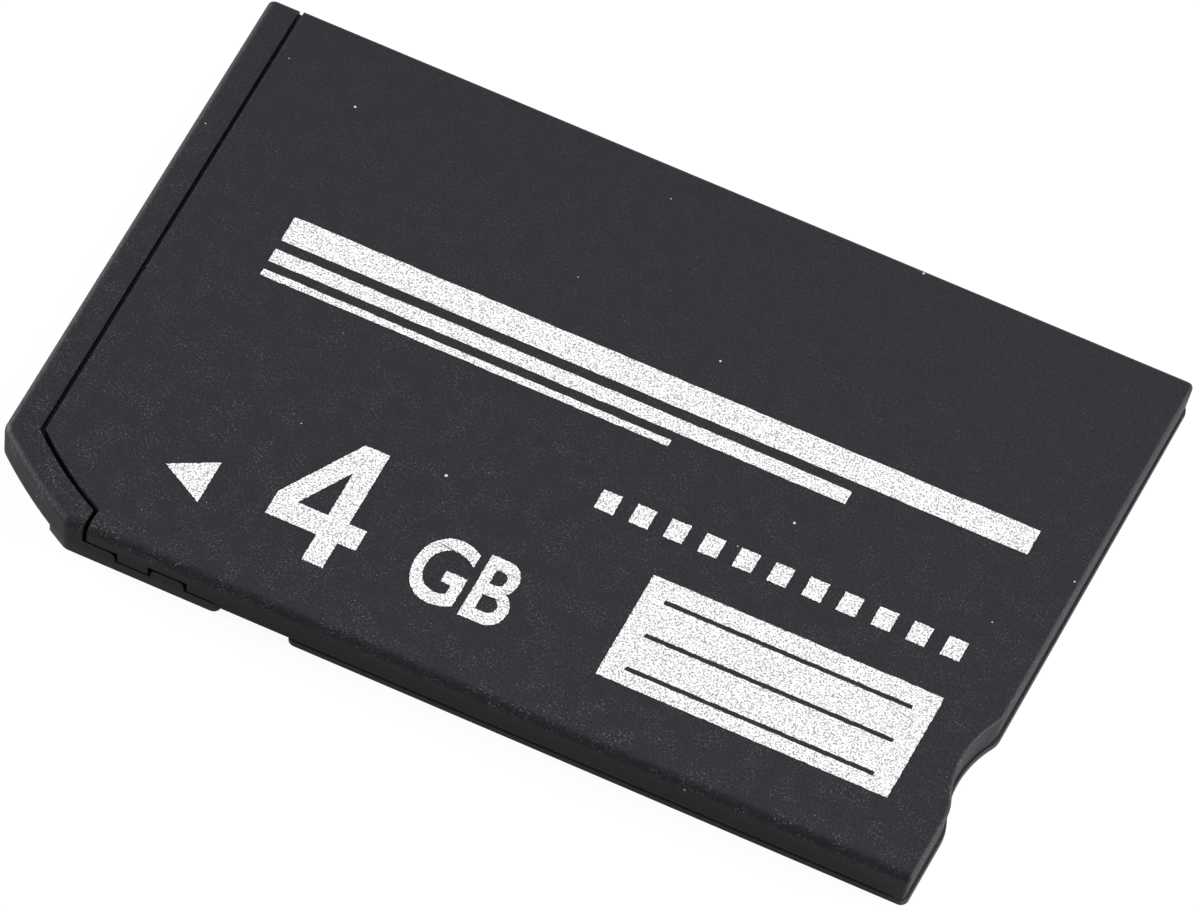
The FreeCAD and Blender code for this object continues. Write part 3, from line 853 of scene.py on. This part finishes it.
@dataclass
class UpperShell:
    """Label shell: roof, walls, thumb notch and the slots for the lugs."""

    plan: CardPlan
    wall: float = 0.8
    rear_wall: float = 1.1
    top_radius: float = 0.3
    far_corner_radius: float = 0.22
    seam_radius: float = 0.05
    gap_height: float = 0.12
    gap_depth: float = 0.08
    rear_lean: float = 0.17

    def outline(self) -> list[Point]:
        """The shell in plan."""
        plan = self.plan
        side = plan.nose_side_length + plan.seam_gap
        band = plan.cut_nose_depth + plan.seam_gap
        return [
            (plan.roof_end, plan.far_side),
            *plan.cut_face(band, plan.roof_end - plan.lead_end, side),
            (plan.lead_end + side, plan.near_side),
            (plan.rear_end, plan.near_side),
            *plan.thumb_arc(),
            (plan.rear_end, plan.far_side),
        ]

    def build(self) -> bpy.types.Object:
        """Model the shell.

        Returns:
            The finished shell.
        """
        plan = self.plan
        shell = Workpiece.prism("upper_shell", self.outline(), plan.floor_top, plan.label_level)
        far_corner = (plan.rear_end, plan.far_side)
        shell.bevel(upright_near(far_corner), self.far_corner_radius, Facets.LARGE)
        shell.bevel(level_at(plan.label_level, plan.on_near_side), self.top_radius, Facets.LARGE)
        shell.bevel(self.on_rim, plan.rim_radius, Facets.RIM)
        shell.bevel(level_at(plan.label_level, self.on_seam), self.seam_radius, Facets.SOFTENED)
        wall_top = plan.label_level - plan.rim_radius
        shell.lean(plan.at_rear, wall_top, self.rear_lean / (wall_top - plan.floor_top))
        for cutter in (self.gap(), self.cavity(), self.slots()):
            shell.cut(cutter)
        return shell.finish()

    def cavity(self) -> Workpiece:
        """The room inside the walls and under the roof."""
        plan = self.plan
        return Workpiece.block(
            "cavity",
            (plan.lead_end, plan.near_side + self.wall, 0.0),
            (plan.rear_end - self.rear_wall, plan.far_side - self.wall, plan.roof_underside),
        )

    def gap(self) -> Workpiece:
        """The shadow gap along the foot of the three walls."""
        plan = self.plan
        inset = self.gap_depth
        left, rear = plan.lead_end - PAST, plan.rear_end - self.rear_lean - inset
        near, far = plan.near_side + inset, plan.far_side - inset
        core = Workpiece.block("gap_core", (left, near, -PAST), (rear, far, plan.top))
        core.bevel(upright_near((rear, near), (rear, far)), plan.corner_radius, Facets.LARGE)
        gap = Workpiece.block(
            "gap",
            (plan.lead_end, plan.near_side - PAST, 0.0),
            (plan.rear_end + PAST, plan.far_side + PAST, plan.floor_top + self.gap_height),
        )
        gap.cut(core)
        return gap

    def slots(self) -> Workpiece:
        """Room in the near wall for the rail and the lugs, with a gap all round."""
        plan = self.plan
        gap = plan.lug_gap
        low, high = plan.rail_height + gap, plan.lug_height + gap
        end = plan.lead_end + plan.notch_start + gap
        (_, first_right), *others = plan.lug_runs()
        outline = [(plan.lead_end, 0.0), (end, 0.0), (end, low)]
        for left, right in reversed(others):
            outline += [(right + gap, low), (right + gap, high), (left - gap, high), (left - gap, low)]
        outline += [(first_right + gap, low), (first_right + gap, high), (plan.lead_end, high)]
        return Workpiece.profile("slots", outline, plan.near_side - PAST, plan.rail_room)

    def on_rim(self, first: Vector, second: Vector) -> bool:
        """Whether an edge lies on the top of the rear end or the far side, or at the near rear corner."""
        plan = self.plan
        ends = (first, second)
        notch_floor = plan.rear_end - plan.thumb_notch_depth - SAME_PLACE
        on_top = all(end.z > plan.label_level - ALIGNED for end in ends)
        at_rear = all(end.x > notch_floor for end in ends)
        at_far_side = all(end.y > plan.far_side - SAME_PLACE for end in ends)
        rounded = plan.near_side + self.top_radius + SAME_PLACE
        at_corner = all(end.x > plan.rear_end - ALIGNED and end.y < rounded for end in ends)
        rises = abs(first.z - second.z) > ALIGNED
        return (on_top and (at_rear or at_far_side)) or (at_corner and rises)

    def on_seam(self, place: Vector) -> bool:
        """Whether a point of the top lies on the seam with the nose."""
        plan = self.plan
        return place.x < plan.nose_side_end + plan.seam_gap + SAME_PLACE

    def dress(self, plastic: bpy.types.Material) -> bpy.types.Object:
        """Build the shell, give it its plastic and set it in the frame."""
        shell = self.build()
        shell.data.materials.append(plastic)
        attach(shell, BODY)
        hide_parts("upper_case")
        return shell


@dataclass
class LowerShell:
    """Floor plate with contact windows, and the nose that closes the leading end."""

    plan: CardPlan
    contacts: list[str]
    ledge_width: float = 0.4
    lead_in: float = 0.35
    nose_radius: float = 0.3
    seam_radius: float = 0.035
    wall: float = 0.8
    foot_reach: float = 0.7
    notch_length: float = 2.25
    notch_depth: float = 0.6
    notch_lip: float = 0.25
    window_margin: float = 0.06
    window_overcut: float = 0.02
    reach_below: float = 0.1
    rear_setback: float = 0.08
    rear_slant: float = 0.04

    def outline(self) -> list[Point]:
        """The shell in plan, with the cut corner and both notches."""
        plan = self.plan
        near, deep = plan.near_side, plan.near_side + self.notch_depth
        left = plan.lead_end + plan.notch_start
        right = left + self.notch_length
        return [
            (plan.lead_end, plan.far_side),
            *plan.rounded_cut(),
            (left, near),
            (left, deep),
            (right, deep),
            (right, near),
            (plan.rear_end, near),
            *plan.thumb_arc(),
            (plan.rear_end, plan.far_side),
        ]

    def build(self) -> bpy.types.Object:
        """Model the shell.

        Returns:
            The finished shell.
        """
        plan = self.plan
        shell = Workpiece.prism("lower_shell", self.outline(), 0.0, plan.nose_top)
        notch = plan.lead_end + plan.notch_start
        rear_corners = [(plan.rear_end, plan.near_side), (plan.rear_end, plan.far_side)]
        notch_lips = [(notch, plan.near_side), (notch + self.notch_length, plan.near_side)]
        shell.bevel(upright_near(*rear_corners), plan.corner_radius, Facets.LARGE)
        shell.bevel(upright_near(*notch_lips), self.notch_lip, Facets.SMALL)
        shell.bevel(level_at(0.0, anywhere), plan.bottom_radius, Facets.SMALL)
        shell.cut(self.above_ledge())
        shell.bevel(level_at(plan.nose_top, self.on_outer_edge), self.nose_radius, Facets.NOSE)
        shell.bevel(self.on_rim, plan.rim_radius, Facets.RIM)
        shell.bevel(level_at(plan.nose_top, self.on_seam), self.seam_radius, Facets.SOFTENED)
        shell.slide(plan.at_rear, (-self.rear_setback, 0.0, 0.0))
        shell.slide(self.at_far_corner, (-self.rear_slant, 0.0, 0.0))
        for cutter in (self.bevel_cutter(), self.above_floor(), self.above_rail(), *self.windows()):
            shell.cut(cutter)
        return shell.finish()

    def above_ledge(self) -> Workpiece:
        """What is cut away behind the nose, down to the ledge that carries the roof's edge."""
        plan = self.plan
        inner = plan.cut_face(plan.cut_nose_depth, plan.nose_depth, plan.nose_side_length)
        outline = [
            (plan.lead_end + plan.nose_depth, plan.far_side + PAST),
            *inner,
            (plan.nose_side_end, plan.near_side - PAST),
            (plan.rear_end + PAST, plan.near_side - PAST),
            (plan.rear_end + PAST, plan.far_side + PAST),
        ]
        return Workpiece.prism("above_ledge", outline, plan.roof_underside, plan.top + PAST)

    def above_floor(self) -> Workpiece:
        """What is cut away behind the ledge, down to the floor plate."""
        plan = self.plan
        band = plan.nose_depth + self.ledge_width
        ledge = plan.cut_face(plan.cut_nose_depth + self.ledge_width, band, plan.nose_side_length)
        ledge_far = plan.far_side - self.wall - plan.fit_clearance
        rail_far = plan.near_side + plan.lug_depth
        strip_end = plan.roof_end - plan.fit_clearance
        outline = [
            (strip_end, plan.far_side + PAST),
            (strip_end, ledge_far),
            (plan.lead_end + band, ledge_far),
            *ledge,
            (plan.nose_side_end, rail_far),
            (plan.rear_end + PAST, rail_far),
            (plan.rear_end + PAST, plan.far_side + PAST),
        ]
        return Workpiece.prism("above_floor", outline, plan.floor_top, plan.top + PAST)

    def above_rail(self) -> Workpiece:
        """What is cut away over the near edge, which leaves the rail, the lugs and the floor's rim."""
        plan = self.plan
        low, high = plan.rail_height, plan.lug_height
        outline = [(plan.nose_side_end, high)]
        for left, right in plan.lug_runs():
            lug = ((left, low), (left, high), (right, high), (right, low))
            foot, rise, fall, end = (Vector(corner) for corner in lug)
            if left > plan.nose_side_end:
                outline += [(left, low), *fillet(foot, rise, fall, plan.lug_corner, Facets.SMALL)]
            outline += [*fillet(rise, fall, end, plan.lug_corner, Facets.SMALL), (right, low)]
        step = plan.lead_end + plan.notch_start + self.notch_length / 2
        outline += [
            (step, low),
            (step, plan.floor_top),
            (plan.rear_end + PAST, plan.floor_top),
            (plan.rear_end + PAST, plan.top + PAST),
            (plan.nose_side_end, plan.top + PAST),
        ]
        return Workpiece.profile("above_rail", outline, plan.near_side - PAST, plan.rail_room)

    def bevel_cutter(self) -> Workpiece:
        """The bevel under the leading edge, which stops before the end of the cut corner."""
        plan = self.plan
        below, far = self.reach_below, plan.far_side + 2 * PAST
        outline = [
            (plan.lead_end, far),
            *plan.rounded_cut(),
            (plan.rear_end, plan.near_side),
            (plan.rear_end, far),
        ]
        core = Workpiece.prism("bevel_core", outline, -below, plan.top)
        core.bevel(level_at(-below, self.on_leading_side), self.lead_in + below, Facets.FLAT)
        cutter = Workpiece.block(
            "bevel_cutter",
            (plan.lead_end - PAST, plan.near_side - PAST, -PAST),
            (plan.lead_end + plan.cut_length - self.foot_reach, plan.far_side + PAST, self.lead_in),
        )
        cutter.cut(core)
        return cutter

    def windows(self) -> list[Workpiece]:
        """Openings in the floor plate over the contacts."""
        grown = Vector((self.window_margin, self.window_margin, 0.0))
        top = self.plan.floor_top + self.window_overcut
        openings = []
        for contact in self.contacts:
            low, high = (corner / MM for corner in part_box(contact))
            low, high = low - grown, high + grown
            openings.append(Workpiece.block("window", (*low.xy, -self.reach_below), (*high.xy, top)))
        return openings

    def at_far_corner(self, place: Vector) -> bool:
        """Whether a point lies at the rear end's far corner."""
        plan = self.plan
        return plan.at_rear(place) and place.y > plan.far_side - 2 * plan.corner_radius

    def on_leading_side(self, place: Vector) -> bool:
        """Whether a point lies on the leading end, the cut corner or the near side."""
        plan = self.plan
        return plan.on_cut(place) or plan.on_near_side(place) or place.x < plan.lead_end + SAME_PLACE

    def on_outer_edge(self, place: Vector) -> bool:
        """Whether a point of the nose's top lies on its leading end, the cut corner or the near side."""
        plan = self.plan
        at_end = place.x < plan.lead_end + plan.nose_depth / 2
        return at_end or plan.on_cut(place) or plan.on_near_side(place)

    def on_rim(self, first: Vector, second: Vector) -> bool:
        """Whether an edge belongs to the rim of the nose's far end."""
        plan = self.plan
        ends = (first, second)
        nose_end = plan.lead_end + plan.nose_depth + SAME_PLACE
        rounded = plan.lead_end + self.nose_radius + SAME_PLACE
        on_face = all(end.y > plan.far_side - SAME_PLACE and end.x < nose_end for end in ends)
        at_corner = all(end.x < rounded and end.z > plan.bottom_radius - SAME_PLACE for end in ends)
        on_top = all(end.z > plan.nose_top - ALIGNED for end in ends)
        rises = abs(first.z - second.z) > ALIGNED
        return on_face and (on_top or (at_corner and rises))

    def on_seam(self, place: Vector) -> bool:
        """Whether a point of the nose's top lies on its inner side."""
        plan = self.plan
        return not self.on_outer_edge(place) and place.y < plan.far_side - plan.rim_radius + SAME_PLACE

    def dress(self, plastic: bpy.types.Material) -> bpy.types.Object:
        """Build the shell, give it its plastic and set it in the frame."""
        shell = self.build()
        shell.data.materials.append(plastic)
        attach(shell, BODY)
        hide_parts("lower_case")
        return shell


@dataclass
class LabelPrint:
    """Silver marks on the label face: stripes, arrow, capacity, dashes and a write-on panel."""

    plan: CardPlan
    stripe_left: float = -11.15
    stripe_far: float = 3.0
    stripes: tuple[tuple[float, float, float], ...] = (
        (0.0, 0.95, 24.8), (1.3, 0.5, 19.2), (2.12, 0.24, 13.6),
    )
    dash_left: float = 1.45
    dash_near: float = -2.35
    dash_size: Point = (0.62, 0.72)
    dash_pitch: float = 1.14
    dash_count: int = 11
    arrow_tip: Point = (-10.55, -6.82)
    arrow_length: float = 1.45
    arrow_width: float = 1.6
    number_low: Point = (-7.15, -8.03)
    number_high: Point = (-4.15, -3.49)
    number_outline: tuple[Point, ...] = (
        (0.57, 0.0), (0.80, 0.0), (0.80, 0.22), (1.0, 0.22), (1.0, 0.39), (0.80, 0.39),
        (0.80, 1.0), (0.53, 1.0), (0.0, 0.41), (0.0, 0.22), (0.57, 0.22),
    )
    number_opening: tuple[Point, ...] = ((0.23, 0.39), (0.57, 0.39), (0.57, 0.77))
    unit: str = "GB"
    unit_low: Point = (-2.45, -7.7)
    unit_high: Point = (0.85, -5.25)
    unit_weight: float = 0.02
    panel_low: Point = (4.1, -7.68)
    panel_high: Point = (13.65, -3.72)
    rule_count: int = 3
    rule_width: float = 0.16
    rule_margin: float = 0.7
    edge_step: float = 0.06
    edge_shake: float = 0.026
    edge_waves: float = 14.0

    def levels(self) -> tuple[float, float]:
        """Lower and upper level of the ink."""
        return self.plan.label_level, self.plan.top

    def rectangle(self, name: str, low: Point, high: Point) -> Workpiece:
        """One printed rectangle."""
        bottom, top = self.levels()
        return Workpiece.block(name, (*low, bottom), (*high, top))

    def arrow(self) -> Workpiece:
        """The triangle that shows which end goes in."""
        x, y = self.arrow_tip
        base, half = x + self.arrow_length, self.arrow_width / 2
        return Workpiece.prism("print_arrow", [(x, y), (base, y - half), (base, y + half)], *self.levels())

    def stripe(self, index: int) -> Workpiece:
        """One of the stripes across the middle, each thinner and shorter than the one before."""
        drop, width, length = self.stripes[index]
        far = self.stripe_far - drop
        low, high = (self.stripe_left, far - width), (self.stripe_left + length, far)
        return self.rectangle(f"print_stripe_{index + 1}", low, high)

    def dash(self, index: int) -> Workpiece:
        """One dash of the broken line over the panel."""
        left = self.dash_left + index * self.dash_pitch
        low = (left, self.dash_near)
        high = (left + self.dash_size[0], self.dash_near + self.dash_size[1])
        return self.rectangle(f"print_dash_{index + 1:02d}", low, high)

    def panel(self) -> Workpiece:
        """The write-on panel, with ruled lines left open."""
        panel = self.rectangle("print_panel", self.panel_low, self.panel_high)
        (left, near), (right, far) = self.panel_low, self.panel_high
        bottom, top = self.levels()
        for index in range(self.rule_count):
            level = near + (far - near) * (index + 0.5) / self.rule_count - self.rule_width
            rule = Workpiece.block(
                "rule",
                (left + self.rule_margin, level, bottom - PAST),
                (right - self.rule_margin, level + self.rule_width, top + PAST),
            )
            panel.cut(rule)
        return panel

    def in_number(self, shares: Sequence[Point]) -> list[Point]:
        """Places in the numeral's box, given as shares of its width and height."""
        (left, near), (right, far) = self.number_low, self.number_high
        return [(left + x * (right - left), near + y * (far - near)) for x, y in shares]

    def capacity(self) -> list[Workpiece]:
        """The capacity as a plain number and its unit."""
        bottom, top = self.levels()
        number = Workpiece.prism("print_number", self.in_number(self.number_outline), bottom, top)
        inside = self.in_number(self.number_opening)
        number.cut(Workpiece.prism("number_opening", inside, bottom - PAST, top + PAST))
        unit = Workpiece.lettering(
            "print_unit", self.unit, self.unit_weight, (*self.unit_low, bottom), (*self.unit_high, top)
        )
        return [number, unit]

    def build(self) -> list[bpy.types.Object]:
        """Print every mark.

        Returns:
            The finished marks.
        """
        marks = [self.arrow(), self.panel(), *self.capacity()]
        marks += [self.stripe(index) for index in range(len(self.stripes))]
        marks += [self.dash(index) for index in range(self.dash_count)]
        for mark in marks:
            mark.roughen(self.edge_step, self.edge_shake, self.edge_waves)
        return [mark.finish() for mark in marks]

    def dress(self, ink: bpy.types.Material) -> list[bpy.types.Object]:
        """Print every mark in ink and set it in the frame."""
        marks = self.build()
        for mark in marks:
            mark.data.materials.append(ink)
            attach(mark, BODY)
        return marks


@dataclass
class ContactRow:
    """Gold plates in the windows of the underside, with rounded corners and softened edges."""

    nodes: list[str]
    corner: float = 0.12
    edge: float = 0.012

    def build(self, node: str) -> bpy.types.Object:
        """One contact in the place of its solid."""
        low, high = (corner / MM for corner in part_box(node))
        plate = Workpiece.block(f"{node}_plate", low, high)
        corners = [(x, y) for x in (low.x, high.x) for y in (low.y, high.y)]
        plate.bevel(upright_near(*corners), self.corner, Facets.SMALL)
        plate.bevel(level_at(low.z, anywhere), self.edge, Facets.SOFTENED)
        return plate.finish()

    def dress(self, gold: bpy.types.Material) -> list[bpy.types.Object]:
        """Build every contact, plate it and set it in the frame."""
        plates = []
        for node in self.nodes:
            plate = self.build(node)
            plate.data.materials.append(gold)
            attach(plate, BODY)
            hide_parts(node)
            plates.append(plate)
        return plates


@dataclass
class Innards:
    """Board and components, which keep their solids and get their finishes."""

    nodes: dict[str, bpy.types.Object]

    def dress(self, finishes: dict[str, bpy.types.Material]) -> None:
        """Give each node the material of its slot."""
        for entry in frame["record"]["subparts"]:
            material = finishes.get(entry["material_slot"])
            if material is None:
                continue
            for slot in self.nodes[entry["node"]].material_slots:
                slot.material = material
            LOG.info("%s: dressed as %s", entry["node"], entry["material_slot"])


@dataclass(frozen=True)
class Lamp:
    """A soft square light aimed at the card."""

    name: str
    place: tuple[float, float, float]
    size: float
    power: float

    def build(self) -> bpy.types.Object:
        """Hang the lamp."""
        bpy.ops.object.light_add(type="AREA", location=self.place)
        lamp = bpy.context.active_object
        lamp.name = self.name
        lamp.data.size = self.size
        lamp.data.energy = self.power
        lamp.rotation_euler = Vector(self.place).to_track_quat("Z", "Y").to_euler()
        return lamp


@dataclass
class Studio:
    """White floor, soft light and the camera of the photograph."""

    azimuth: float = math.radians(22.707)
    elevation: float = math.radians(55.49)
    roll: float = math.radians(3.897)
    distance: float = 506.571 * MM
    aim_right: float = 0.525 * MM
    aim_up: float = 0.148 * MM
    focal_pixels: float = 16925.8
    image_width: float = 1200.0
    sensor: float = 36.0
    floor_size: float = 3.0
    floor_drop: float = 0.01 * MM
    floor_colour: Colour = (0.6, 0.6, 0.6)
    floor_glow_seen: float = 0.85
    floor_glow_mirrored: float = 0.12
    floor_level: float = 1.1
    world_strength: float = 0.12
    lamps: tuple[Lamp, ...] = (
        Lamp("window_behind", (0.25, 0.75, 0.3), 0.7, 8.0),
        Lamp("panel_left", (-0.6, 0.03, 0.11), 0.35, 9.0),
        Lamp("panel_right", (0.6, 0.05, 0.12), 0.35, 9.0),
    )

    def camera(self) -> bpy.types.Object:
        """The camera, where a fit to the photograph's outline puts it."""
        back = Vector((
            math.sin(self.azimuth) * math.cos(self.elevation),
            -math.cos(self.azimuth) * math.cos(self.elevation),
            math.sin(self.elevation),
        ))
        right = Vector((math.cos(self.azimuth), math.sin(self.azimuth), 0.0))
        up = back.cross(right)
        turned_right = right * math.cos(self.roll) + up * math.sin(self.roll)
        turned_up = up * math.cos(self.roll) - right * math.sin(self.roll)
        place = turned_right * self.aim_right + turned_up * self.aim_up + back * self.distance
        bpy.ops.object.camera_add()
        camera = bpy.context.active_object
        axes = Matrix((turned_right, turned_up, back)).transposed()
        camera.matrix_world = Matrix.Translation(place) @ axes.to_4x4()
        camera.data.sensor_width = self.sensor
        camera.data.lens = self.focal_pixels / self.image_width * self.sensor
        bpy.context.scene.camera = camera
        return camera

    def floor(self) -> bpy.types.Object:
        """A pale floor that takes the card's shadow and reads white to the eye."""
        bpy.ops.object.select_all(action="DESELECT")
        bpy.ops.mesh.primitive_plane_add(size=self.floor_size, location=(0.0, 0.0, -self.floor_drop))
        floor = bpy.context.active_object
        floor.name = "studio_floor"
        recipe = Recipe("studio_floor")
        matt = recipe.node("ShaderNodeBsdfDiffuse", None, {"Color": (*self.floor_colour, 1.0)})["BSDF"]
        light = {"Color": (1.0, 1.0, 1.0, 1.0), "Strength": self.floor_level}
        glow = recipe.node("ShaderNodeEmission", None, light)["Emission"]
        path = recipe.node("ShaderNodeLightPath")
        seen = self.floor_glow_seen * path["Is Camera Ray"]
        mirrored = self.floor_glow_mirrored * path["Is Glossy Ray"]
        both = recipe.node("ShaderNodeMixShader", None, {0: seen + mirrored, 1: matt, 2: glow})["Shader"]
        recipe.node("ShaderNodeOutputMaterial", None, {"Surface": both})
        floor.data.materials.append(recipe.material)
        return floor

    def lights(self) -> None:
        """The lamps and a dim white surround."""
        world = bpy.data.worlds.new("studio_world")
        bpy.context.scene.world = world
        world.use_nodes = True
        background = world.node_tree.nodes["Background"]
        background.inputs["Color"].default_value = (1.0, 1.0, 1.0, 1.0)
        background.inputs["Strength"].default_value = self.world_strength
        for lamp in self.lamps:
            lamp.build()

    def build(self) -> None:
        """Set up the whole studio."""
        self.camera()
        self.floor()
        self.lights()
        bpy.context.scene.view_settings.view_transform = "Standard"


def main() -> None:
    """Build the card and its studio, piece by piece."""
    logging.basicConfig(level=logging.INFO, format="%(name)s: %(message)s")
    plan = CardPlan.from_frame()
    Studio().build()
    plastic = CasePlastic().make()
    contacts = sorted(name for name in frame["nodes"] if name.startswith("contact_pad"))
    pieces = [
        UpperShell(plan).dress(plastic),
        LowerShell(plan, contacts=contacts).dress(plastic),
        *LabelPrint(plan).dress(SilverInk().make()),
        *ContactRow(contacts).dress(GoldPlate().make()),
    ]
    for piece in pieces:
        LOG.info("%s: %d faces", piece.name, len(piece.data.polygons))
    Innards(frame["nodes"]).dress({surface.name: surface.make() for surface in INNER_SURFACES})


if __name__ == "__main__":
    main()
